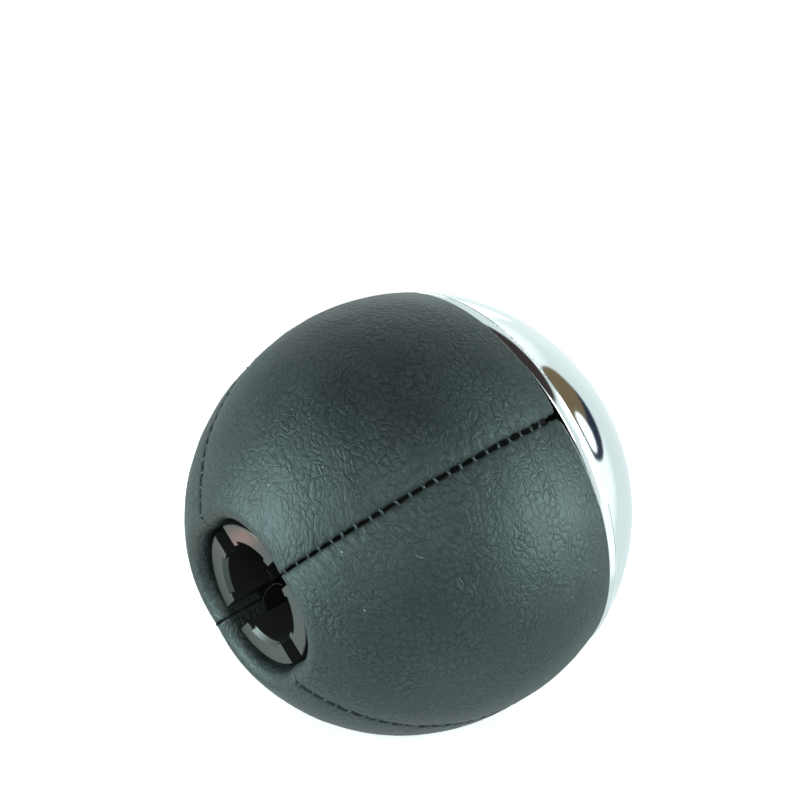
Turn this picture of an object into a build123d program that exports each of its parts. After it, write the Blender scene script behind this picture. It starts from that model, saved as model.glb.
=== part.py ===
"""Leather-covered ball gear knob with a chrome cap, built piece by piece in millimetres.

Z is the lever's axis and points from the open mouth to the cap.
The origin is the middle of the mouth's rim, the flat ring that the knob stands on.
The seams lie in the planes of X and Y, with one at the front (-Y), and the panels between them.
"""
import os
from math import asin, cos, degrees, radians, sin, sqrt

from build123d import *

os.makedirs("parts", exist_ok=True)

# Ball and leather panels
ball_diameter = 52.0
seam_dip = 0.8
edge_thickness = 1.5
seam_gap = 0.5
seam_round = 0.675
glue_line = 0.05
mouth_gap = 0.1
mouth_roll = 1.5
tuck_thickness = 1.2
tuck_depth = 4.5
cap_line = 9.8
lip_thickness = 1.2
corner_flare = 1.25
corner_height = 1.5
corner_bend = 2.4

# Seam thread
stitch_pitch = 1.65
thread_radius = 0.24
thread_drop = 0.036
thread_sides = 8

# Collet that grips the lever
lever_radius = 6.0
lever_clearance = 0.1
finger_wall = 2.6
collet_recess = 1.25
collet_turn = -3.0
slot_width = 3.0
slot_length = 15.0
lead_in = 0.5
finger_ear = 0.8
nose_round = 0.2
socket_depth = 28.0
lever_stop = 2.0
bead_height = 0.4
bead_rise = 3.3
key_width = 2.5
key_length = 5.5
key_height = 1.0

# Ring spring round the fingers
spring_wire = 1.2
spring_height = 8.0
spring_gap = 24.0
spring_sink = 0.24
spring_play = 0.1

# Moulded core
fit = 0.05
finger_room = 0.6
seat_length = 11.0
socket_wall = 2.4
core_wall = 3.0
rib_thickness = 1.8
rib_count = 8
rib_room = 1.0

# Chrome cap
dome_rise = 0.6
dome_inset = 0.3
dome_round = 0.1
band_height = 1.4
band_taper = 0.05
band_break = 0.2
crease_depth = 0.15
cap_wall = 2.2
seat_width = 2.5
spigot_wall = 1.8
spigot_play = 0.15
spigot_length = 2.6
ledge_drop = 2.6
tab_length = 4.2
tab_arc = 26.0
tab_inset = 0.18
tab_root = 0.5
barb = 0.6
barb_lead = 0.18
snap_play = 0.15

# How far a cutter, or a piece that is joined to another, runs past the other's face
spare = 1.0

# Values that follow from the sizes above
ball_radius = ball_diameter / 2
half_turn = radians(45)
seam_radius = ball_radius - seam_dip
panel_axis = (ball_radius**2 - seam_radius**2) / (2 * (ball_radius - seam_radius * cos(half_turn)))
cover_inside = seam_radius - edge_thickness
core_radius = cover_inside - glue_line
stitch_depth = seam_round + thread_radius + thread_drop

bore_radius = lever_radius + lever_clearance
collet_radius = bore_radius + finger_wall
mouth_at_seam = collet_radius + mouth_gap
mouth_radius = panel_axis + sqrt(
    (mouth_at_seam - panel_axis * cos(half_turn)) ** 2 + (panel_axis * sin(half_turn)) ** 2
)
roll_centre = mouth_radius + mouth_roll
roll_drop = sqrt((ball_radius - mouth_roll) ** 2 - roll_centre**2)
ball_height = roll_drop + mouth_roll
tuck_outside = mouth_radius + tuck_thickness
tuck_top = mouth_roll + tuck_depth
leather_top = ball_height + cap_line
lip_bottom = leather_top - lip_thickness
top_roll_centre = sqrt((ball_radius - lip_thickness) ** 2 - (cap_line - lip_thickness) ** 2)

flange_under = leather_top + glue_line
crease_height = flange_under + band_height
dome_centre = ball_height + dome_rise
dome_radius = ball_radius - dome_inset
dome_edge = sqrt(dome_radius**2 - (crease_height - dome_centre) ** 2)
crease_radius = dome_edge - crease_depth
band_radius = crease_radius + band_taper
flange_top = flange_under + cap_wall
shoulder = lip_bottom - glue_line
shoulder_radius = sqrt(core_radius**2 - (shoulder - ball_height) ** 2)
spigot_radius = shoulder_radius - seat_width
spigot_inside = spigot_radius - spigot_wall
spigot_bore = spigot_radius + spigot_play
spigot_bottom = flange_under - spigot_length
ledge_height = spigot_bottom - ledge_drop
tab_bottom = spigot_bottom - tab_length

collet_face = collet_recess
socket_top = collet_face + socket_depth
collet_top = socket_top - fit
slot_top = collet_face + slot_length
seat_bottom = socket_top - seat_length
seat_radius = collet_radius + fit
socket_radius = collet_radius + finger_room
spring_level = collet_face + spring_height
spring_centre = collet_radius - spring_sink
spring_floor = spring_centre - spring_wire / 2 - fit
bead_level = seat_bottom + bead_rise
key_bottom = socket_top - key_length
key_radius = collet_radius + key_height

tube_radius = max(socket_radius, key_radius + fit) + socket_wall
tube_top = socket_top + socket_wall
cavity_radius = core_radius - core_wall
cavity_floor = tuck_top + glue_line + core_wall
cavity_floor_radius = sqrt(cavity_radius**2 - (ball_height - cavity_floor) ** 2)
rib_top = min(tab_bottom, tube_top) - rib_room


def upright(turn):
    """Plane through Z turned by an angle, with the radius as its first axis and Z as its second."""
    angle = radians(turn)
    return Plane((0, 0, 0), x_dir=(cos(angle), sin(angle), 0), z_dir=(sin(angle), -cos(angle), 0))


def on_circle(radius, height, distance):
    """Point of a circle about the ball's centre at a distance from Z, below the centre."""
    return (distance, height - sqrt(radius**2 - distance**2))


# Padded leather panel facing +X, swollen between its two seams
with BuildPart() as panel:
    with BuildSketch(Plane.XZ):
        with BuildLine():
            grow = ball_radius / (ball_radius - mouth_roll)
            roll_end = (roll_centre * grow, ball_height - roll_drop * grow)
            grow = ball_radius / (ball_radius - lip_thickness)
            top_start = (top_roll_centre * grow, ball_height + (cap_line - lip_thickness) * grow)
            Polyline(
                (top_roll_centre, leather_top),
                (panel_axis, leather_top),
                (panel_axis, tuck_top + spare),
                (mouth_radius, tuck_top + spare),
                (mouth_radius, mouth_roll),
            )
            lean = radians(45) - asin(roll_centre / (ball_radius - mouth_roll)) / 2
            low = (roll_centre - mouth_roll * sin(lean), mouth_roll - mouth_roll * cos(lean))
            ThreePointArc((mouth_radius, mouth_roll), low, roll_end)
            ThreePointArc(roll_end, (ball_radius, ball_height), top_start)
            lean = (radians(90) + asin((cap_line - lip_thickness) / (ball_radius - lip_thickness))) / 2
            high = (
                top_roll_centre + lip_thickness * cos(lean),
                leather_top - lip_thickness + lip_thickness * sin(lean),
            )
            ThreePointArc(top_start, high, (top_roll_centre, leather_top))
        make_face()
    revolve(axis=Axis((panel_axis, 0, 0), (0, 0, 1)))
    with BuildSketch(Plane.XY.offset(-spare)):
        with BuildLine():
            reach = 2 * ball_radius
            Polyline((0, 0), (reach, -reach), (reach, reach), close=True)
        make_face()
    extrude(amount=2 * ball_diameter, mode=Mode.INTERSECT)
    for turn in (45, -45):
        sideways = Plane((0, 0, 0), x_dir=-upright(turn).z_dir, z_dir=upright(turn).x_dir)
        with BuildSketch(sideways):
            with BuildLine():
                start = leather_top - corner_height
                wide = seam_gap / 2 + corner_flare
                above = leather_top + spare
                Polyline(
                    (seam_gap / 2, start),
                    (seam_gap / 2, -spare),
                    (-seam_gap / 2, -spare),
                    (-seam_gap / 2, start),
                )
                RadiusArc((-seam_gap / 2, start), (-wide, leather_top), corner_bend)
                Polyline((-wide, leather_top), (-wide, above), (wide, above), (wide, leather_top))
                RadiusArc((wide, leather_top), (seam_gap / 2, start), corner_bend)
            make_face()
        extrude(amount=2 * ball_radius, mode=Mode.SUBTRACT)
    with BuildSketch(Plane.XZ):
        with BuildLine():
            mouth_corner = on_circle(cover_inside, ball_height, tuck_outside)
            lip_corner = (sqrt(cover_inside**2 - (lip_bottom - ball_height) ** 2), lip_bottom)
            Polyline(
                mouth_corner,
                (tuck_outside, tuck_top),
                (0, tuck_top),
                (0, leather_top + spare),
                (spigot_bore, leather_top + spare),
                (spigot_bore, lip_bottom),
                lip_corner,
            )
            ThreePointArc(lip_corner, (cover_inside, ball_height), mouth_corner)
        make_face()
    revolve(axis=Axis.Z, mode=Mode.SUBTRACT)
    skin = panel.faces().filter_by(GeomType.REVOLUTION)
    seam_edges = skin.edges().filter_by(lambda edge: abs(edge.center().Y) > sin(half_turn) * edge.center().X)
    fillet(seam_edges, radius=seam_round)

for side, turn in (("back_right", 45), ("back_left", 135), ("front_left", 225), ("front_right", 315)):
    with BuildPart() as placed_panel:
        add(panel.part, rotation=(0, 0, turn))
    placed_panel.part.label = f"leather_panel_{side}"
    export_step(placed_panel.part, f"parts/leather_panel_{side}.step")

# Thread of each seam, a row of stitches that bridge the groove from panel to panel
seam_start = asin(-roll_drop / (ball_radius - mouth_roll))
seam_end = asin((cap_line - corner_height - stitch_pitch) / ball_radius)
stitch_count = int((seam_end - seam_start) * ball_radius / stitch_pitch) + 1
for side, turn in (("right", 0), ("back", 90), ("left", 180), ("front", 270)):
    with BuildPart() as seam_thread:
        for step in range(stitch_count):
            angle = seam_start + step * stitch_pitch / ball_radius
            middle = ball_radius * cos(angle) - panel_axis
            seam_here = panel_axis * cos(half_turn) + sqrt(middle**2 - (panel_axis * sin(half_turn)) ** 2)
            out = seam_here - stitch_depth * cos(angle)
            up = ball_height + (ball_radius - stitch_depth) * sin(angle)
            with BuildSketch(upright(turn)):
                with Locations((out, up)):
                    RegularPolygon(radius=thread_radius, side_count=thread_sides)
            extrude(amount=seam_gap / 2, both=True)
    seam_thread.part.label = f"seam_thread_{side}"
    export_step(seam_thread.part, f"parts/seam_thread_{side}.step")

# Split collet with four fingers, closed at the end that stops the lever
with BuildPart() as collet:
    with BuildSketch(Plane.XZ):
        with BuildLine():
            Polyline(
                (bore_radius, collet_face),
                (collet_radius, collet_face),
                (collet_radius, bead_level - bead_height),
                (collet_radius + bead_height, bead_level),
                (collet_radius, bead_level + bead_height),
                (collet_radius, collet_top),
                (0, collet_top),
                (0, collet_top - lever_stop),
                (bore_radius, collet_top - lever_stop),
                close=True,
            )
        make_face()
        fillet(vertices().sort_by_distance((collet_radius, collet_face))[0], radius=nose_round)
    revolve(axis=Axis.Z)
    with BuildSketch(upright(0)):
        with Locations((collet_radius, (key_bottom + collet_top) / 2)):
            Rectangle(2 * (key_radius - collet_radius), collet_top - key_bottom)
    extrude(amount=key_width / 2, both=True)
    with BuildSketch(Plane.XZ):
        with Locations((collet_radius, spring_level)):
            Rectangle(2 * (collet_radius - spring_floor), spring_wire + 2 * spring_play)
    revolve(axis=Axis.Z, mode=Mode.SUBTRACT)
    for turn in (45 + collet_turn, 135 + collet_turn, 225 + collet_turn, 315 + collet_turn):
        lead_arc = 2 * degrees(half_turn - asin((slot_width / 2 + finger_ear) / bore_radius))
        with BuildSketch(upright(turn - lead_arc / 2)):
            with BuildLine():
                Polyline(
                    (bore_radius - spare, collet_face - spare),
                    (bore_radius + lead_in + spare, collet_face - spare),
                    (bore_radius - spare, collet_face + lead_in + spare),
                    close=True,
                )
            make_face()
        revolve(axis=Axis.Z, revolution_arc=lead_arc, mode=Mode.SUBTRACT)
    for turn in (collet_turn, 90 + collet_turn):
        across = Plane((0, 0, 0), x_dir=-upright(turn).z_dir, z_dir=upright(turn).x_dir)
        with BuildSketch(across):
            with Locations((0, slot_top - slot_width / 2)):
                Circle(slot_width / 2)
            with Locations((0, (slot_top - slot_width / 2 + collet_face - spare) / 2)):
                Rectangle(slot_width, slot_top - slot_width / 2 - collet_face + spare)
        extrude(amount=2 * collet_radius, both=True, mode=Mode.SUBTRACT)
collet.part.label = "lever_collet"
export_step(collet.part, "parts/lever_collet.step")

# Open ring of spring wire in the groove round the fingers, with its gap at a slot
with BuildPart() as spring:
    with BuildSketch(upright(90 + collet_turn + spring_gap / 2)):
        with Locations((spring_centre, spring_level)):
            Circle(spring_wire / 2)
    revolve(axis=Axis.Z, revolution_arc=360 - spring_gap)
spring.part.label = "collet_spring"
export_step(spring.part, "parts/collet_spring.step")

# Moulded core under the leather, with the collet's socket, ribs and the cap's ledge
with BuildPart() as core:
    with BuildSketch(Plane.XZ):
        with BuildLine():
            low_corner = on_circle(core_radius, ball_height, tuck_outside + glue_line)
            Polyline(
                low_corner,
                (tuck_outside + glue_line, tuck_top + glue_line),
                (socket_radius, tuck_top + glue_line),
                (socket_radius, seat_bottom),
                (seat_radius, seat_bottom),
                (seat_radius, bead_level - bead_height),
                (seat_radius + bead_height, bead_level),
                (seat_radius, bead_level + bead_height),
                (seat_radius, socket_top),
                (0, socket_top),
                (0, tube_top),
                (tube_radius, tube_top),
                (tube_radius, cavity_floor),
                (cavity_floor_radius, cavity_floor),
            )
            lean = (asin((ball_height - cavity_floor) / cavity_radius)) / 2
            ThreePointArc(
                (cavity_floor_radius, cavity_floor),
                (cavity_radius * cos(lean), ball_height - cavity_radius * sin(lean)),
                (cavity_radius, ball_height),
            )
            Polyline(
                (cavity_radius, ball_height),
                (cavity_radius, ledge_height),
                (spigot_bore, ledge_height),
                (spigot_bore, shoulder),
                (shoulder_radius, shoulder),
            )
            ThreePointArc((shoulder_radius, shoulder), (core_radius, ball_height), low_corner)
        make_face()
    revolve(axis=Axis.Z)
    with BuildSketch(upright(0)):
        with Locations((collet_radius / 2, (key_bottom - fit + socket_top) / 2)):
            Rectangle(collet_radius + 2 * (key_radius + fit - collet_radius), socket_top - key_bottom + fit)
    extrude(amount=key_width / 2 + fit, both=True, mode=Mode.SUBTRACT)
    for turn in range(rib_count):
        with BuildSketch(upright((turn + 0.5) * 360 / rib_count)):
            with Locations(((tube_radius + core_radius) / 2, (cavity_floor + rib_top) / 2)):
                Rectangle(core_radius - tube_radius + spare, rib_top - cavity_floor + spare)
            with Locations((0, ball_height)):
                Circle(cavity_radius + core_wall / 2, mode=Mode.INTERSECT)
        extrude(amount=rib_thickness / 2, both=True)
core.part.label = "core"
export_step(core.part, "parts/core.step")

# Chrome-plated cap, a hollow dome with a recessed band, a spigot and four snap tabs
with BuildPart() as cap:
    with BuildSketch(Plane.XZ):
        with BuildLine():
            dome_top = dome_centre + dome_radius
            inside_radius = dome_radius - cap_wall
            inside_edge = sqrt(inside_radius**2 - (flange_top - dome_centre) ** 2)
            nose = dome_radius - dome_round
            nose_rise = crease_height + dome_round - dome_centre
            nose_out = sqrt(nose**2 - nose_rise**2)
            nose_turn = asin(nose_rise / nose)
            dome_foot = (dome_radius * cos(nose_turn), dome_centre + dome_radius * sin(nose_turn))
            lean = (radians(90) + nose_turn) / 2
            ThreePointArc(
                dome_foot,
                (dome_radius * cos(lean), dome_centre + dome_radius * sin(lean)),
                (0, dome_top),
            )
            Line((0, dome_top), (0, dome_top - cap_wall))
            ThreePointArc(
                (0, dome_top - cap_wall),
                (inside_radius * cos(lean), dome_centre + inside_radius * sin(lean)),
                (inside_edge, flange_top),
            )
            Polyline(
                (inside_edge, flange_top),
                (spigot_inside, flange_top),
                (spigot_inside, spigot_bottom),
                (spigot_radius, spigot_bottom),
                (spigot_radius, flange_under),
                (band_radius - band_break, flange_under),
                (band_radius, flange_under + band_break),
                (crease_radius, crease_height),
                (nose_out, crease_height),
            )
            lean = (nose_turn - radians(90)) / 2
            ThreePointArc(
                (nose_out, crease_height),
                (nose_out + dome_round * cos(lean), crease_height + dome_round + dome_round * sin(lean)),
                dome_foot,
            )
        make_face()
    revolve(axis=Axis.Z)
    for turn in (0, 90, 180, 270):
        with BuildSketch(upright(turn - tab_arc / 2)):
            with BuildLine():
                tab_in = spigot_inside + tab_inset
                tab_out = spigot_radius - tab_inset
                Polyline(
                    (tab_in, spigot_bottom + tab_root),
                    (tab_in, tab_bottom),
                    (tab_out - barb_lead, tab_bottom),
                    (spigot_bore + barb, ledge_height - snap_play),
                    (tab_out, ledge_height - snap_play),
                    (tab_out, spigot_bottom + tab_root),
                    close=True,
                )
            make_face()
        revolve(axis=Axis.Z, revolution_arc=tab_arc)
cap.part.label = "chrome_cap"
export_step(cap.part, "parts/chrome_cap.step")
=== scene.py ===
import bpy
import numpy as np
from mathutils import Matrix, Vector


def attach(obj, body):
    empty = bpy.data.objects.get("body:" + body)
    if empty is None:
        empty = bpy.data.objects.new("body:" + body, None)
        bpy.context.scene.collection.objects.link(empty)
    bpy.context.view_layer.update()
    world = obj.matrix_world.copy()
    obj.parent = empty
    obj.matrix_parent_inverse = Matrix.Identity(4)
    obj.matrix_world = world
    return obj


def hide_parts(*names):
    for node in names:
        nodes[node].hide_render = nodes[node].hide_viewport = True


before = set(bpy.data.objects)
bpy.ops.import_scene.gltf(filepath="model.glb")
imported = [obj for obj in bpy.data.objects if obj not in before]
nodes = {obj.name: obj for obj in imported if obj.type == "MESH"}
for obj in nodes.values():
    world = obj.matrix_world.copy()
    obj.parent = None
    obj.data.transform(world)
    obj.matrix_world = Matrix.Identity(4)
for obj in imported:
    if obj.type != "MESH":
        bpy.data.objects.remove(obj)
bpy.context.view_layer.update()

# Leather panels
# Four padded gores of black leather, swollen between the seams and glued over the core. They are rolled in at
# the mouth and under the cap. Cells, folds and the pull of the stitches are in the mesh, fine pores are bump.
ball_radius = 0.026
ball_height = 0.023263
panel_axis = 0.0025034
half_panel = np.pi / 4
mouth_radius = 0.0097527
mouth_roll = 0.0015
tuck_top = 0.006
cap_line = 0.0098
lip_thickness = 0.0012
lip_inside = 0.0216
leather_sheet = 0.00115
cover_inside = 0.0237
roll_centre = mouth_radius + mouth_roll
mouth_angle = np.arccos(roll_centre / (ball_radius - mouth_roll))
top_angle = np.arcsin((cap_line - lip_thickness) / (ball_radius - lip_thickness))
top_centre = (ball_radius - lip_thickness) * np.cos(top_angle)
leather_top = ball_height + cap_line
tuck_steps = 12
roll_steps = 18
ball_steps = 270
top_steps = 12
lip_steps = 5


def crown_line():
    """A panel's middle line: the tuck, the mouth's roll, the ball's circle, the top roll and the lip.
    Gives the distance from Z, the height, the outward normal's two parts and the length along the line."""
    tuck = np.linspace(tuck_top, mouth_roll, tuck_steps)[:-1]
    roll = np.linspace(np.pi, 2 * np.pi - mouth_angle, roll_steps)[:-1]
    ball = np.linspace(-mouth_angle, top_angle, ball_steps)
    top = np.linspace(top_angle, np.pi / 2, top_steps)[1:]
    lip = np.linspace(top_centre, lip_inside, lip_steps)[1:]
    turn = np.concatenate([np.full(tuck.size, np.pi), roll, ball, top, np.full(lip.size, np.pi / 2)])
    out = np.concatenate([
        np.full(tuck.size, mouth_radius),
        roll_centre + mouth_roll * np.cos(roll),
        ball_radius * np.cos(ball),
        top_centre + lip_thickness * np.cos(top),
        lip,
    ])
    up = np.concatenate([
        tuck,
        mouth_roll + mouth_roll * np.sin(roll),
        ball_height + ball_radius * np.sin(ball),
        leather_top - lip_thickness + lip_thickness * np.sin(top),
        np.full(lip.size, leather_top),
    ])
    length = np.concatenate([[0.0], np.cumsum(np.hypot(np.diff(out), np.diff(up)))])
    return out, up, np.cos(turn), np.sin(turn), length


def chance(across, along, seed):
    """A repeatable random number from 0 to 1 for each whole-numbered place of a grid: the place and the seed
    times large odd numbers, with the bits of the sum mixed twice over."""
    all_bits = 0xFFFFFFFF
    mixed = across.astype(np.int64) * 374761393 + along.astype(np.int64) * 668265263 + seed * 1274126177
    mixed = mixed & all_bits
    mixed = ((mixed ^ (mixed >> 13)) * 1103515245) & all_bits
    mixed = ((mixed ^ (mixed >> 15)) * 668265263) & all_bits
    return ((mixed ^ (mixed >> 16)) & 0xFFFFFF) / float(0x1000000)


def soft_noise(across, along, seed):
    """Smooth noise from -1 to 1: random heights on a unit grid, eased between the four corners."""
    left = np.floor(across)
    low = np.floor(along)
    ease_x = (across - left) ** 2 * (3 - 2 * (across - left))
    ease_y = (along - low) ** 2 * (3 - 2 * (along - low))
    bottom = chance(left, low, seed) * (1 - ease_x) + chance(left + 1, low, seed) * ease_x
    top = chance(left, low + 1, seed) * (1 - ease_x) + chance(left + 1, low + 1, seed) * ease_x
    return 2 * (bottom * (1 - ease_y) + top * ease_y) - 1


def cell_border(across, along, seed):
    """How far a place is from the border of its cell: the second nearest of the grid's jittered points
    less the nearest."""
    left = np.floor(across)
    low = np.floor(along)
    nearest = np.full(across.shape, 9.0)
    second = np.full(across.shape, 9.0)
    for step_x in (-1, 0, 1):
        for step_y in (-1, 0, 1):
            column = left + step_x
            row = low + step_y
            point_x = column + chance(column, row, seed)
            point_y = row + chance(column, row, seed + 71)
            gap = np.hypot(across - point_x, along - point_y)
            second = np.minimum(second, np.maximum(nearest, gap))
            nearest = np.minimum(nearest, gap)
    return second - nearest


stitch_pitch = 0.00165
grain_unit = 0.001
stretch_reach = 0.0055
stretch_share = 0.45
warp_size = 0.0021
warp_reach = 0.0005
ripple_size = 0.0006
ripple_reach = 0.00016
cell_width = 0.001
cell_length = 0.0008
cell_line = 0.2
cell_depth = 0.000022
pore_width = 0.0006
pore_length = 0.0005
pore_line = 0.26
pore_depth = 0.00001
patch_size = 0.005
fold_width = 0.007
fold_length = 0.0011
fold_reach = 0.0045
fold_depth = 0.00009
wave_width = 0.004
wave_length = 0.003
wave_height = 0.00004
pull_reach = 0.0012
pull_depth = 0.00008
pucker_width = 0.004
pucker_length = 0.0007
pucker_reach = 0.0022
pucker_height = 0.000045


def leather_relief(from_seam, middle, side, length, angle, seed):
    """Height of the leather over the plain swollen panel, how deep in a crease each place is and the grain's
    two coordinates. Cells with pressed-in borders stretch away from the seams, folds and puckers run out
    from the stitches, which pull the leather down, and broad waves lie under all of it."""
    near = np.exp(-from_seam / stretch_reach) - np.exp(-middle / stretch_reach)
    run = side * (middle - from_seam - stretch_share * stretch_reach * near)
    warp_x = warp_reach * soft_noise(run / warp_size, length / warp_size, seed + 1)
    warp_y = warp_reach * soft_noise(run / warp_size, length / warp_size, seed + 2)
    run = run + warp_x + ripple_reach * soft_noise(run / ripple_size, length / ripple_size, seed + 8)
    length = length + warp_y + ripple_reach * soft_noise(run / ripple_size, length / ripple_size, seed + 9)
    cells = np.exp(-((cell_border(run / cell_width, length / cell_length, seed + 3) / cell_line) ** 2))
    pores = np.exp(-((cell_border(run / pore_width, length / pore_length, seed + 4) / pore_line) ** 2))
    patchy = 0.62 + 0.38 * soft_noise(run / patch_size, length / patch_size, seed + 5)
    folds = soft_noise(run / fold_width, length / fold_length, seed + 6)
    folds = np.exp(-from_seam / fold_reach) * np.clip(folds + 0.1, 0, 1) ** 1.5
    waves = soft_noise(run / wave_width, length / wave_length, seed + 7)
    phase = (angle + mouth_angle) * ball_radius / stitch_pitch
    pull = np.exp(-((from_seam / pull_reach) ** 2)) * (0.5 + 0.5 * np.cos(2 * np.pi * phase))
    pucker = soft_noise(run / pucker_width, length / pucker_length, seed + 10)
    pucker = np.exp(-from_seam / pucker_reach) * pucker
    crease = np.clip(cells * patchy + 0.5 * pores, 0, 1)
    height = -cell_depth * cells * patchy - pore_depth * pores - fold_depth * folds
    height = height + wave_height * waves - pull_depth * pull + pucker_height * pucker
    return height, crease, run / grain_unit + 7 * seed, length / grain_unit


def add_object(name, points, faces, parts=None):
    """A smooth mesh object at the origin from points, faces of three or more corners and named values."""
    mesh = bpy.data.meshes.new(name)
    mesh.from_pydata(points.reshape(-1, 3).tolist(), [], faces)
    mesh.polygons.foreach_set("use_smooth", np.ones(len(mesh.polygons), bool))
    for part, values in (parts or {}).items():
        layer = mesh.attributes.new(part, "FLOAT", "POINT")
        layer.data.foreach_set("value", values.ravel().astype(np.float32))
    mesh.update()
    obj = bpy.data.objects.new(name, mesh)
    bpy.context.scene.collection.objects.link(obj)
    return obj


def ring_faces(rows, columns):
    """Faces of a grid of closed loops, with the first and the last loop shut by one face each."""
    index = np.arange(rows * columns).reshape(rows, columns)
    step = np.roll(index, -1, axis=1)
    sides = np.stack([index[:-1], step[:-1], step[1:], index[1:]], axis=-1).reshape(-1, 4).tolist()
    return sides + [index[0, ::-1].tolist(), index[-1].tolist()]


seam_gap = 0.0005
seam_round = 0.0003
gap_at_mouth = 0.19
gap_growth = 0.34
gap_drawn = 0.25
gap_ragged = 0.35
ragged_size = 0.0006
corner_flare = 0.0019
corner_height = 0.001
relief_start = 0.0004
relief_fade_in = 0.002
relief_fade_out = 0.0015
edge_shade_reach = 0.00035
face_steps = 226
edge_steps = 8
wall_steps = 4
inside_steps = 12


def leather_panel(name, turn, seed):
    """One panel as closed loops: down the wall of one seam, over its round edge, across the swollen face,
    down the other seam and back along the inside, for each place of the crown line. Each place has a span
    from the panel's own axis, which is shifted towards the panel's middle, and a swing about that axis."""
    out, up, normal_out, normal_up, length = [line[:, None] for line in crown_line()]
    span = out - panel_axis
    high = np.clip((up - leather_top + corner_height) / corner_height, 0, 1)
    angle = np.arctan2(up - ball_height, out)
    drawn = np.cos(2 * np.pi * (angle + mouth_angle) * ball_radius / stitch_pitch) * (normal_out > 0)
    ragged = soft_noise(length / ragged_size, 0 * length, seed + 12)
    widening = gap_at_mouth + gap_growth * (angle + mouth_angle) / (top_angle + mouth_angle)
    edge = seam_gap * widening * (1 - gap_drawn * drawn + gap_ragged * ragged)
    edge = edge + corner_flare * (1 - np.sqrt(1 - np.minimum(high, 0.98) ** 2))
    reach = half_panel - np.arcsin((edge - panel_axis * np.sin(half_panel)) / span)
    curve = np.linspace(0, np.pi / 2, edge_steps)
    wall = np.linspace(leather_sheet, seam_round, wall_steps)[:-1]
    inset = np.concatenate([np.zeros(wall.size), seam_round * (1 - np.cos(curve))])
    depth = np.concatenate([wall, seam_round * (1 - np.sin(curve))])
    face = np.linspace(-1, 1, face_steps)[None, 1:-1]
    left = -reach + inset / span
    swing = np.concatenate([left, (reach - seam_round / span) * face, -left[:, ::-1]], axis=1)
    deep = np.concatenate([depth, np.zeros(face.size), depth[::-1]])[None, :] + 0 * swing
    from_seam = span * (reach - np.abs(swing))
    level = 0 * swing
    relief, crease, grain_x, grain_y = leather_relief(
        from_seam, span * reach, np.sign(swing), length + level, angle + level, seed
    )
    on_ball = np.clip((up - relief_start) / relief_fade_in, 0, 1)
    on_ball = on_ball * np.clip((leather_top - up) / relief_fade_out, 0, 1)
    on_ball = on_ball * (normal_out > 0) * np.clip(1 - deep / seam_round, 0, 1)
    inner = reach * np.linspace(1, -1, inside_steps)[None, :]
    forward = panel_axis + span * np.cos(inner)
    back = np.sqrt(forward**2 + (span * np.sin(inner)) ** 2 + (up - ball_height) ** 2)
    back = np.maximum(back - cover_inside, leather_sheet)
    from_rolls = np.minimum(np.abs(up - mouth_roll), np.abs(leather_top - lip_thickness - up))
    back = np.minimum(back, leather_sheet + 0.5 * from_rolls)
    back = np.where((angle > -mouth_angle) & (angle < top_angle), back, leather_sheet * 0.9)
    swing = np.concatenate([swing, inner], axis=1)
    fall = np.concatenate([deep - relief * on_ball, back], axis=1)
    blank = np.zeros(inner.shape)
    # Painted shade: the edge value darkens the leather's colour along each seam's rounded edge and all over
    # the panel's inside, and the crease value darkens it in the mesh's creases.
    edge_shade = np.exp(-((from_seam / edge_shade_reach) ** 2)) * (normal_out > 0)
    shades = {
        "edge": np.concatenate([edge_shade, blank + 1], axis=1),
        "crease": np.concatenate([crease * on_ball, blank], axis=1),
        "grain_x": np.concatenate([grain_x, blank], axis=1),
        "grain_y": np.concatenate([grain_y, blank], axis=1),
    }
    facing = swing + np.radians(turn)
    x = panel_axis * np.cos(np.radians(turn)) + (span - normal_out * fall) * np.cos(facing)
    y = panel_axis * np.sin(np.radians(turn)) + (span - normal_out * fall) * np.sin(facing)
    z = up - normal_up * fall
    return add_object(name, np.stack([x, y, z], axis=-1), ring_faces(*swing.shape), shades)


class Value:
    """A shader value: sums with it become Math nodes, and node() adds any other node."""

    def __init__(self, tree, socket=None):
        self.tree = tree
        self.socket = socket

    def node(self, kind, inputs, out=0, **settings):
        """Adds a node, sets its settings, links or sets its inputs and gives one output."""
        made = self.tree.nodes.new(kind)
        for name, setting in settings.items():
            setattr(made, name, setting)
        for place, given in inputs.items():
            if isinstance(given, Value):
                self.tree.links.new(given.socket, made.inputs[place])
            else:
                made.inputs[place].default_value = given
        return Value(self.tree, made.outputs[out])

    def maths(self, operation, *terms):
        """A Math node on values or plain numbers."""
        return self.node("ShaderNodeMath", dict(enumerate(terms)), operation=operation)

    def mix(self, low, high):
        """From one colour to another as this value goes from 0 to 1."""
        return self.node("ShaderNodeMix", {0: self, 6: low, 7: high}, out=2, data_type="RGBA")

    def __add__(self, other):
        return self.maths("ADD", self, other)

    def __sub__(self, other):
        return self.maths("SUBTRACT", self, other)

    def __rsub__(self, other):
        return self.maths("SUBTRACT", other, self)

    def __mul__(self, other):
        return self.maths("MULTIPLY", self, other)

    def __truediv__(self, other):
        return self.maths("DIVIDE", self, other)

    def __rtruediv__(self, other):
        return self.maths("DIVIDE", other, self)

    def __lt__(self, other):
        return self.maths("LESS_THAN", self, other)

    def __gt__(self, other):
        return self.maths("GREATER_THAN", self, other)

    __radd__ = __add__
    __rmul__ = __mul__


def new_material(name, **constants):
    """A material with plain Principled inputs, its tree as a value and its shader node."""
    material = bpy.data.materials.new(name)
    material.use_nodes = True
    shader = material.node_tree.nodes["Principled BSDF"]
    for place, constant in constants.items():
        shader.inputs[place.replace("_", " ")].default_value = constant
    return material, Value(material.node_tree), shader


def set_input(value, shader, place):
    """Feeds a shader's input from a value."""
    value.tree.links.new(value.socket, shader.inputs[place])


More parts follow.
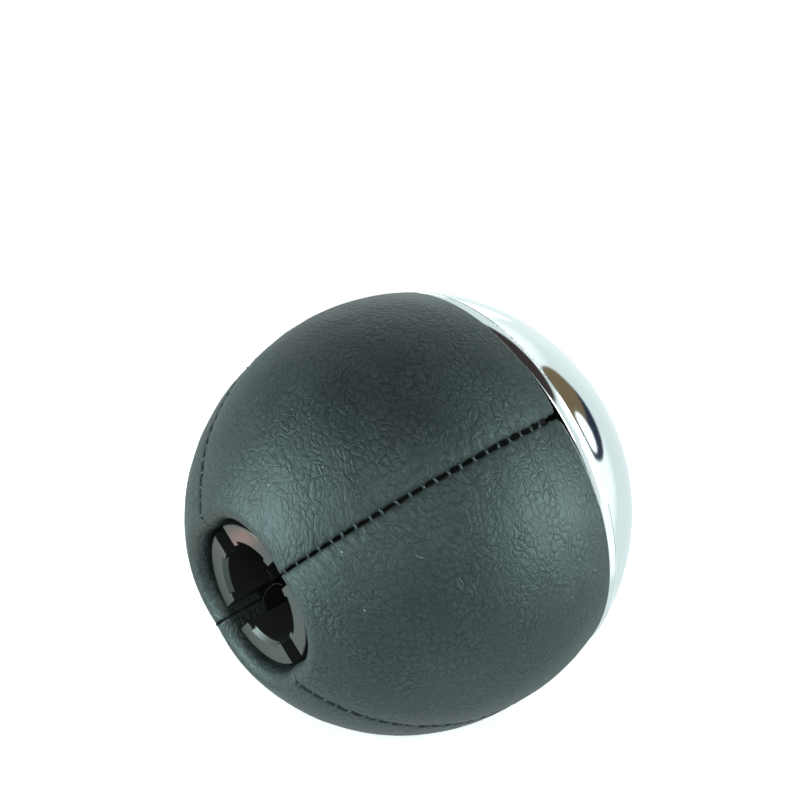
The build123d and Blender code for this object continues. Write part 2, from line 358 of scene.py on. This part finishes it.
leather_dark = (0.0036, 0.0049, 0.0048, 1)
leather_pale = (0.0285, 0.0395, 0.0387, 1)
cool_gleam = (0.76, 1.0, 0.99, 1)
dust_colour = (0.30, 0.33, 0.33, 1)
wander_scale = 1.3
wander_reach = (0.9, 0.9, 0)
patch_scale = 0.3
mottle_scale = 140.0
grit_scale = 6000.0
dust_scale = 300.0
dust_size = 0.03
dust_cover = 0.6
large_cell_scale = 1.15
large_line = 0.16
small_cell_scale = 2.7
small_line = 0.3
pillow_edge = 0.36
pore_bump = 0.000038

leather, tree, shader = new_material("leather", Specular_IOR_Level=0.42, Specular_Tint=cool_gleam)
place = tree.node("ShaderNodeTexCoord", {}, out="Object")
crease = tree.node("ShaderNodeAttribute", {}, out="Fac", attribute_name="crease")
edge = tree.node("ShaderNodeAttribute", {}, out="Fac", attribute_name="edge")
mottle = tree.node("ShaderNodeTexNoise", {"Vector": place, "Scale": mottle_scale, "Detail": 3.0})
grit = tree.node("ShaderNodeTexNoise", {"Vector": place, "Scale": grit_scale, "Detail": 2.0})
dust = tree.node("ShaderNodeTexVoronoi", {"Vector": place, "Scale": dust_scale}, feature="F1")
dust = (dust < dust_size) * dust_cover
grain_x = tree.node("ShaderNodeAttribute", {}, out="Fac", attribute_name="grain_x")
grain_y = tree.node("ShaderNodeAttribute", {}, out="Fac", attribute_name="grain_y")
grain = tree.node("ShaderNodeCombineXYZ", {"X": grain_x, "Y": grain_y})
wander = tree.node("ShaderNodeTexNoise", {"Vector": grain, "Scale": wander_scale, "Detail": 2.0}, out="Color")
wandered = {0: wander, 1: wander_reach, 2: grain}
grain = tree.node("ShaderNodeVectorMath", wandered, operation="MULTIPLY_ADD")
cells = {"feature": "DISTANCE_TO_EDGE", "voronoi_dimensions": "2D"}
large = tree.node("ShaderNodeTexVoronoi", {"Vector": grain, "Scale": large_cell_scale}, **cells)
small = tree.node("ShaderNodeTexVoronoi", {"Vector": grain, "Scale": small_cell_scale}, **cells)
patchy = tree.node("ShaderNodeTexNoise", {"Vector": grain, "Scale": patch_scale, "Detail": 1.0}) * 1.6 - 0.3
pillow = tree.node("ShaderNodeMapRange", {0: large, 2: pillow_edge}, interpolation_type="SMOOTHSTEP") * patchy
large = (1 - tree.maths("MINIMUM", large / large_line, 1.0)) * patchy
small = 1 - tree.node("ShaderNodeMapRange", {0: small, 2: small_line}, interpolation_type="SMOOTHSTEP")
lines = large * 0.45 + small * 0.25
# Painted shade: the base colour darkens along the grain's crease lines, in the mesh's creases, towards the
# cells' borders, along the seam edges and on the panels' inside. The mottle is the leather's own uneven tone.
shade = mottle * 0.5 + 0.25 + pillow * 0.25 - crease * 0.15 - lines * 1.15 - edge * 0.8
colour = dust.mix(shade.mix(leather_dark, leather_pale), dust_colour)
set_input(colour, shader, "Base Color")
set_input(mottle * 0.10 + 0.42 + lines * 0.08 + edge * 0.3, shader, "Roughness")
pores = pillow + grit * 0.6 - lines
bump = tree.node("ShaderNodeBump", {"Strength": 1.0, "Distance": pore_bump, "Height": pores})
set_input(bump, shader, "Normal")

panel_turns = {"front_left": 225, "front_right": 315, "back_right": 45, "back_left": 135}
panel_seeds = {"front_left": 11, "front_right": 23, "back_right": 37, "back_left": 53}
for side, turn in panel_turns.items():
    panel = leather_panel(f"leather_{side}", turn, panel_seeds[side])
    panel.data.materials.append(leather)
    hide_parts(f"leather_panel_{side}")
    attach(panel, "root")

# Seam threads
# Black sewing thread that bridges each groove from panel to panel, a rung at every stitch.
# Each rung is a twisted tube that arches a little over the groove and dives into both edges.
stitch_count = 22
stitch_slip = 0.1
rung_half = 0.0006
rung_radius = 0.00017
rung_slant = -0.00006
rung_lean = 0.0002
rung_sink = 0.0001
rung_sag = 0.6
rung_arch = 0.00034
rung_tip = 0.04
rung_steps = 17
rung_sides = 12
ply_depth = 0.28
ply_twist = 9
thread_dark = (0.005, 0.0072, 0.0072, 1)
thread_pale = (0.024, 0.033, 0.0325, 1)
thread_scale = 5200.0
thread_bump = 0.00004


def tube_faces(count, rows, columns):
    """Faces of several like tubes, one after the other in the list of points, each with its two end faces."""
    tube = ring_faces(rows, columns)
    shift = np.arange(count)[:, None, None] * rows * columns
    sides = (np.array(tube[:-2])[None] + shift).reshape(-1, 4).tolist()
    ends = (np.array(tube[-2:])[None] + shift).reshape(-1, columns).tolist()
    return sides + ends


def seam_thread(name, turn):
    """All rungs of one seam: for each stitch, each step along the rung and each step round the thread,
    a point about an arched line across the groove, its radius waved by the two twisted plies."""
    number = np.arange(stitch_count)[:, None, None]
    lean = 2 * chance(number, 0 * number, turn + 1) - 1
    sag = 2 * chance(number, 0 * number, turn + 2) - 1
    angle = -mouth_angle + (number + stitch_slip * sag) * stitch_pitch / ball_radius
    along = np.linspace(-1, 1, rung_steps)[None, :, None]
    around = np.linspace(0, 2 * np.pi, rung_sides, endpoint=False)[None, None, :]
    span = ball_radius * np.cos(angle) - panel_axis
    seam = panel_axis * np.cos(half_panel) + np.sqrt(span**2 - (panel_axis * np.sin(half_panel)) ** 2)
    plies = 1 + ply_depth * np.cos(2 * around + ply_twist * along)
    thick = rung_radius * plies * np.sqrt(np.clip(1 + rung_tip - along**8, rung_tip, 1))
    lift = -rung_sink * (1 + rung_sag * sag) - rung_arch * along**2 + thick * np.cos(around)
    slide = (rung_slant + rung_lean * lean) * along + thick * np.sin(around)
    out = seam + lift * np.cos(angle) - slide * np.sin(angle)
    z = ball_height + ball_radius * np.sin(angle) + lift * np.sin(angle) + slide * np.cos(angle)
    aside = rung_half * along + 0 * around + 0 * angle
    facing = np.radians(turn)
    x = out * np.cos(facing) - aside * np.sin(facing)
    y = out * np.sin(facing) + aside * np.cos(facing)
    return add_object(name, np.stack([x, y, z], axis=-1), tube_faces(stitch_count, rung_steps, rung_sides))


thread, tree, shader = new_material(
    "thread", Roughness=0.45, Specular_IOR_Level=0.4, Specular_Tint=cool_gleam
)
place = tree.node("ShaderNodeTexCoord", {}, out="Object")
fuzz = tree.node("ShaderNodeTexNoise", {"Vector": place, "Scale": thread_scale, "Detail": 2.0})
set_input(fuzz.mix(thread_dark, thread_pale), shader, "Base Color")
bump = tree.node("ShaderNodeBump", {"Strength": 0.4, "Distance": thread_bump, "Height": fuzz})
set_input(bump, shader, "Normal")

for side, turn in (("right", 0), ("back", 90), ("left", 180), ("front", 270)):
    rungs = seam_thread(f"thread_{side}", turn)
    rungs.data.materials.append(thread)
    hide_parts(f"seam_thread_{side}")
    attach(rungs, "root")

# Loose fibres
# A frayed end of thread that hangs across the mouth in three strands, and a bit of pale lint that lies on
# the front right panel. All are thin as hairs.
strand_radius = 0.000016
lint_radius = 0.000028
fibre_steps = 15
fibre_sides = 6
fray = (0.00016, -0.00426, 0.0013)
lint = ((0.00578, -0.02105, 0.00954), (0.00619, -0.02102, 0.00963), (0.0065, -0.02123, 0.01009))
strand_colour = (0.025, 0.027, 0.025, 1)
lint_colour = (0.2, 0.205, 0.2, 1)


def fibre(radius, start, bend, end):
    """A thin round tube along the curve that leaves a first point towards a second and ends at a third."""
    start, bend, end = np.array([start, bend, end])
    step = np.linspace(0, 1, fibre_steps)[:, None]
    line = (1 - step) ** 2 * start + 2 * step * (1 - step) * bend + step**2 * end
    along = np.gradient(line, axis=0)
    aside = np.cross(along, (1, 1, 1))
    aside = aside / np.linalg.norm(aside, axis=1, keepdims=True)
    third = np.cross(along, aside)
    third = third / np.linalg.norm(third, axis=1, keepdims=True)
    around = np.linspace(0, 2 * np.pi, fibre_sides, endpoint=False)[None, :, None]
    return line[:, None] + radius * (np.cos(around) * aside[:, None] - np.sin(around) * third[:, None])


fibres = [
    fibre(strand_radius, (-0.00156, -0.00497, 0.0013), (-0.00057, -0.00598, 0.0012), fray),
    fibre(strand_radius, fray, (0.00001, -0.00114, 0.0015), (0.00114, -0.00007, 0.0013)),
    fibre(strand_radius, fray, (0.00009, -0.00545, 0.0012), (0.00083, -0.00661, 0.0013)),
    fibre(lint_radius, *lint),
]
pale = np.repeat([0, 0, 0, 1], fibre_steps * fibre_sides)
faces = tube_faces(len(fibres), fibre_steps, fibre_sides)
loose = add_object("loose_fibres", np.concatenate(fibres), faces, {"pale": pale})
fluff, tree, shader = new_material("fibre", Roughness=0.7, Specular_IOR_Level=0.2)
pale = tree.node("ShaderNodeAttribute", {}, out="Fac", attribute_name="pale")
set_input(pale.mix(strand_colour, lint_colour), shader, "Base Color")
loose.data.materials.append(fluff)
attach(loose, "root")

# Chrome cap
# A hollow dome with a mirror chrome plate, a rounded foot, a sharp crease and a narrow band. Its spigot sits
# in the core. It is turned as one fine mesh, so that its reflections run clean, without the hidden snap tabs.
cap_gap = 0.00005
band_height = 0.0012
band_radius = 0.0233
band_break = 0.0002
band_belly = 0.000028
crease_radius = 0.02341
dome_radius = 0.0257
dome_lift = 0.0006
dome_wall = 0.0022
dome_round = 0.00005
spigot_radius = 0.01955
spigot_wall = 0.0018
spigot_depth = 0.0026
flange_under = leather_top + cap_gap
flange_top = flange_under + dome_wall
crease_height = flange_under + band_height
dome_centre = ball_height + dome_lift
spigot_bottom = flange_under - spigot_depth
nose_turn = np.arcsin((crease_height + dome_round - dome_centre) / (dome_radius - dome_round))
dome_steps = 90
nose_steps = 14
band_steps = 15
inside_dome_steps = 24
cap_sides = 540
chrome_colour = (0.82, 0.84, 0.845, 1)


def cap_outline():
    """The cap's half section from the top of the dome round its foot, band and spigot to the inside of the
    dome. The band runs straight from the crease to its broken lower edge, with a slight belly."""
    dome = np.linspace(np.pi / 2, nose_turn, dome_steps)[1:]
    nose = np.linspace(nose_turn, -np.pi / 2, nose_steps)[1:]
    foot = (dome_radius - dome_round) * np.cos(nose_turn)
    inside = dome_radius - dome_wall
    inner_turn = np.arcsin((flange_top - dome_centre) / inside)
    inner = np.linspace(inner_turn, np.pi / 2, inside_dome_steps)[:-1]
    steps = np.array([
        (band_radius, flange_under + band_break),
        (band_radius - 0.25 * band_break, flange_under + 0.45 * band_break),
        (band_radius - 0.55 * band_break, flange_under + 0.1 * band_break),
        (band_radius - band_break, flange_under),
        (spigot_radius, flange_under),
        (spigot_radius, spigot_bottom),
        (spigot_radius - spigot_wall, spigot_bottom),
        (spigot_radius - spigot_wall, flange_top),
    ])
    fall = np.linspace(0, 1, band_steps)[:-1]
    out = [
        dome_radius * np.cos(dome),
        foot + dome_round * np.cos(nose),
        crease_radius + (band_radius - crease_radius) * fall + 4 * band_belly * fall * (1 - fall),
        steps[:, 0],
        inside * np.cos(inner),
    ]
    up = [
        dome_centre + dome_radius * np.sin(dome),
        crease_height + dome_round + dome_round * np.sin(nose),
        crease_height + (flange_under + band_break - crease_height) * fall,
        steps[:, 1],
        dome_centre + inside * np.sin(inner),
    ]
    return np.concatenate(out), np.concatenate(up)


def turned(name, out, up, sides):
    """A closed body turned about Z from a half section that starts and ends near the axis."""
    around = np.linspace(0, 2 * np.pi, sides, endpoint=False)[None, :]
    x = out[:, None] * np.cos(around)
    y = out[:, None] * np.sin(around)
    z = up[:, None] + 0 * around
    faces = [face[::-1] for face in ring_faces(out.size, sides)]
    return add_object(name, np.stack([x, y, z], axis=-1), faces)


cap = turned("cap", *cap_outline(), cap_sides)
chrome = new_material("chrome", Metallic=1.0, Roughness=0.08, Base_Color=chrome_colour)[0]
cap.data.materials.append(chrome)
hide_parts("chrome_cap")
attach(cap, "root")

# Collet
# The split sleeve that grips the lever, moulded in dark grey, slightly glossy plastic and set in the core's
# socket. It keeps its CAD shape.
collet_dark = (0.008, 0.0085, 0.0083, 1)
collet_pale = (0.012, 0.0128, 0.0125, 1)
collet_gleam = (0.85, 1.0, 0.95, 1)
plastic, tree, shader = new_material("collet_plastic", Specular_IOR_Level=0.72, Specular_Tint=collet_gleam)
place = tree.node("ShaderNodeTexCoord", {}, out="Object")
haze = tree.node("ShaderNodeTexNoise", {"Vector": place, "Scale": 300.0, "Detail": 3.0})
set_input(haze.mix(collet_dark, collet_pale), shader, "Base Color")
set_input(haze * 0.15 + 0.27, shader, "Roughness")
nodes["lever_collet"].data.materials.clear()
nodes["lever_collet"].data.materials.append(plastic)

# Core and spring
# The black moulded plastic core that carries the leather, the collet and the cap, and the ring of spring wire
# round the collet's fingers. Both are hidden but for glimpses, and keep their CAD shape.
core_dark = (0.002, 0.0022, 0.0022, 1)
core_pale = (0.004, 0.0044, 0.0044, 1)
steel_dark = (0.32, 0.32, 0.31, 1)
steel_pale = (0.45, 0.45, 0.44, 1)
moulded, tree, shader = new_material("core_plastic", Roughness=0.6, Specular_IOR_Level=0.15)
place = tree.node("ShaderNodeTexCoord", {}, out="Object")
haze = tree.node("ShaderNodeTexNoise", {"Vector": place, "Scale": 200.0, "Detail": 3.0})
set_input(haze.mix(core_dark, core_pale), shader, "Base Color")
nodes["core"].data.materials.clear()
nodes["core"].data.materials.append(moulded)
steel, tree, shader = new_material("spring_steel", Metallic=1.0, Roughness=0.3)
place = tree.node("ShaderNodeTexCoord", {}, out="Object")
haze = tree.node("ShaderNodeTexNoise", {"Vector": place, "Scale": 400.0, "Detail": 2.0})
set_input(haze.mix(steel_dark, steel_pale), shader, "Base Color")
nodes["collet_spring"].data.materials.clear()
nodes["collet_spring"].data.materials.append(steel)

# Floor
# The white table that the knob lies on: a plane that touches the ball's side, below it in the photo's view.
# It takes the ball's soft shadow and fades out round it into the white surrounding. From behind it is clear,
# so that every side of the knob can be seen.
view_azimuth = np.radians(-82.977)
view_rise = np.radians(-30.764)
view_roll = np.radians(63.027)
level_back = Vector((np.cos(view_azimuth), np.sin(view_azimuth), 0))
level_right = Vector((-np.sin(view_azimuth), np.cos(view_azimuth), 0))
camera_back = level_back * np.cos(view_rise) + Vector((0, 0, np.sin(view_rise)))
camera_right = level_right * np.cos(view_roll) + camera_back.cross(level_right) * np.sin(view_roll)
camera_up = camera_back.cross(camera_right)
middle = Vector((0, 0, ball_height))
floor_tilt = np.radians(25)
floor_gap = 0.00005
floor_half = 1.2
fade_start = 0.05
fade_end = 0.18
floor_colour = (0.86, 0.87, 0.87, 1)
floor_glow = 0.5
floor_up = (camera_up * np.cos(floor_tilt) + camera_back * np.sin(floor_tilt)).normalized()
floor_back = floor_up.cross(camera_right)
floor_spot = middle - floor_up * (ball_radius + floor_gap)


def card_tree(name):
    """An empty material for a stage card, with its tree as a value and its output node."""
    material = bpy.data.materials.new(name)
    material.use_nodes = True
    material.node_tree.nodes.clear()
    end = material.node_tree.nodes.new("ShaderNodeOutputMaterial")
    return material, Value(material.node_tree), end


corners = np.array([(-1, -1), (1, -1), (1, 1), (-1, 1)]) * floor_half
corners = corners @ np.array([tuple(camera_right), tuple(floor_back)]) + np.array(floor_spot)
floor = add_object("floor", corners, [[0, 1, 2, 3]])
pale, tree, end = card_tree("floor_white")
matt = tree.node("ShaderNodeBsdfDiffuse", {"Color": floor_colour})
glow = tree.node("ShaderNodeEmission", {"Color": (1, 1, 1, 1), "Strength": floor_glow})
both = tree.node("ShaderNodeAddShader", {0: matt, 1: glow})
clear = tree.node("ShaderNodeBsdfTransparent", {})
behind = tree.node("ShaderNodeNewGeometry", {}, out="Backfacing")
place = tree.node("ShaderNodeTexCoord", {}, out="Object")
away = tree.node("ShaderNodeVectorMath", {0: place, 1: tuple(floor_spot)}, out="Value", operation="DISTANCE")
fade = {0: away, 1: fade_start, 2: fade_end}
faded = tree.node("ShaderNodeMapRange", fade, interpolation_type="SMOOTHSTEP")
hidden = tree.maths("MAXIMUM", behind, faded)
set_input(tree.node("ShaderNodeMixShader", {0: hidden, 1: both, 2: clear}), end, "Surface")
floor.data.materials.append(pale)
floor.visible_diffuse = False
floor.visible_glossy = False
floor.visible_transmission = False
floor.visible_shadow = False

# Cards
# Glowing ovals for what stood round the knob: a dark space above it, a bright backdrop and white ground, a
# brown opening with a lamp in a dark frame, which the chrome mirrors, and a small red gleam beside the mouth.
# No card is seen by the camera.
card_points = 64
white = (0.88, 1, 1, 1)
brown = (0.182, 0.141, 0.08, 1)
frame_blue = (0.012, 0.02, 0.045, 1)
red = (1.0, 0.45, 0.36, 1)
dusk = (0.045, 0.037, 0.034, 1)


def view_way(right, up, back):
    """A direction of the photo's view as a unit vector of the shared frame."""
    return (camera_right * right + camera_up * up + camera_back * back).normalized()


def compass(azimuth, rise):
    """A direction of the photo's view from its angle to the right of straight behind and its rise."""
    azimuth = np.radians(azimuth)
    rise = np.radians(rise)
    return view_way(np.sin(azimuth) * np.cos(rise), np.sin(rise), -np.cos(azimuth) * np.cos(rise))


def round_card(name, way, distance, half_across, half_along, colour, strength, soft):
    """A glowing oval in a direction of the photo's view, turned to the ball's middle, that fades out over a
    soft share of its radius: the value glow falls from 1 in the middle to 0 on the rim."""
    across = camera_up.cross(way).normalized()
    along = way.cross(across)
    around = np.linspace(0, 2 * np.pi, card_points, endpoint=False)
    spots = np.outer(half_across * np.cos(around), across) + np.outer(half_along * np.sin(around), along)
    points = np.concatenate([np.zeros((1, 3)), spots]) + np.array(middle + way * distance)
    faces = [[0, step + 1, (step + 1) % card_points + 1] for step in range(card_points)]
    card = add_object(name, points, faces, {"glow": np.concatenate([[1.0], np.zeros(card_points)])})
    paint, tree, end = card_tree(name)
    glow = tree.node("ShaderNodeAttribute", {}, out="Fac", attribute_name="glow")
    shown = tree.maths("MINIMUM", glow / soft, 1.0)
    clear = tree.node("ShaderNodeBsdfTransparent", {})
    light = tree.node("ShaderNodeEmission", {"Color": colour, "Strength": strength})
    set_input(tree.node("ShaderNodeMixShader", {0: shown, 1: clear, 2: light}), end, "Surface")
    card.data.materials.append(paint)
    card.visible_camera = False
    card.visible_diffuse = False
    card.visible_shadow = False
    return card


round_card("card_lamp", compass(62, 20.8), 0.50, 0.038, 0.056, white, 1.5, 0.05)
round_card("card_brown", compass(60.5, 31.6), 0.55, 0.137, 0.102, brown, 1.0, 0.06)
round_card("card_frame", compass(58.6, 25.9), 0.60, 0.136, 0.158, frame_blue, 1.0, 0.06)
round_card("card_wall", compass(76, 10), 0.90, 0.50, 0.75, white, 1.3, 0.3)
round_card("card_right", compass(116, 28), 0.80, 0.30, 0.26, white, 1.5, 0.25)
round_card("card_ground", compass(97, -28), 0.80, 0.44, 0.34, white, 1.3, 0.3)
round_card("card_backdrop", compass(2, 26), 0.95, 0.62, 0.66, white, 1.0, 0.5)
round_card("card_high", compass(32, 51), 0.90, 0.36, 0.31, white, 1.3, 0.4)
round_card("card_red", view_way(-0.936, -0.238, 0.258), 0.0289, 0.0016, 0.0016, red, 8.0, 0.5)
dark = round_card("card_above", view_way(-0.13, 0.83, 0.55), 0.45, 0.40, 0.27, dusk, 1.0, 0.12)
dark.visible_diffuse = True
dark.visible_shadow = True

# Lamps and world
# Soft boxes to the left and the right of the photo's view, with weaker ones in front, below and behind.
# The surrounding is even and pale, and brighter to the camera and in mirrored light.
cool = (0.86, 1, 1)
warm = (1.0, 0.93, 0.87)
plain_light = 0.5
camera_light = 0.5
mirror_light = 0.4
world = bpy.data.worlds.new("surrounding")
bpy.context.scene.world = world
world.use_nodes = True
tree = Value(world.node_tree)
ground = world.node_tree.nodes["Background"]
seen = tree.node("ShaderNodeLightPath", {}, out="Is Camera Ray")
mirrored = tree.node("ShaderNodeLightPath", {}, out="Is Glossy Ray")
through = tree.node("ShaderNodeLightPath", {}, out="Is Transmission Ray")
strength = plain_light + seen * camera_light + mirrored * mirror_light + through * mirror_light
set_input(strength, ground, "Strength")
set_input(seen.mix((*cool, 1), (1, 1, 1, 1)), ground, "Color")


def soft_box(name, direction, distance, side, watts, colour=cool):
    """A square lamp in a direction of the photo's view, turned to the ball's middle."""
    lamp = bpy.data.lights.new(name, "AREA")
    lamp.shape = "SQUARE"
    lamp.size = side
    lamp.energy = watts
    lamp.color = colour
    box = bpy.data.objects.new(name, lamp)
    bpy.context.scene.collection.objects.link(box)
    way = view_way(*direction)
    box.location = middle + way * distance
    box.rotation_euler = way.to_track_quat("Z", "Y").to_euler()


soft_box("lamp_left", (-1.0, -0.03, 0.4), 0.5, 0.35, 4.1)
soft_box("lamp_right", (1.0, 0.1, 0.32), 0.5, 0.3, 3.3)
soft_box("lamp_front", (-0.1, 0.08, 0.95), 0.6, 0.25, 1.15, warm)
soft_box("lamp_low", (-0.85, -0.52, 0.08), 0.5, 0.25, 0.45)
soft_box("lamp_under", (0.25, -0.95, 0.05), 0.5, 0.3, 0.38)
soft_box("lamp_back", (0.05, 0.62, -0.78), 0.7, 0.3, 0.3)

# Camera
# The photo's viewing angle: below the knob's mouth and rolled, as the knob lies on its side in the photo.
# The ball's middle lies below the middle of the picture.
camera_distance = 0.285556
camera_aside = -0.000883
camera_above = 0.013275
lens = bpy.data.cameras.new("camera")
lens.sensor_width = 36.0
lens.lens = 110.066
lens.clip_start = 0.01
camera = bpy.data.objects.new("camera", lens)
bpy.context.scene.collection.objects.link(camera)
camera_spot = middle + camera_back * camera_distance + camera_right * camera_aside + camera_up * camera_above
turned_to = Matrix((camera_right, camera_up, camera_back)).transposed()
camera.matrix_world = Matrix.Translation(camera_spot) @ turned_to.to_4x4()
bpy.context.scene.camera = camera
bpy.context.scene.view_settings.view_transform = "Standard"
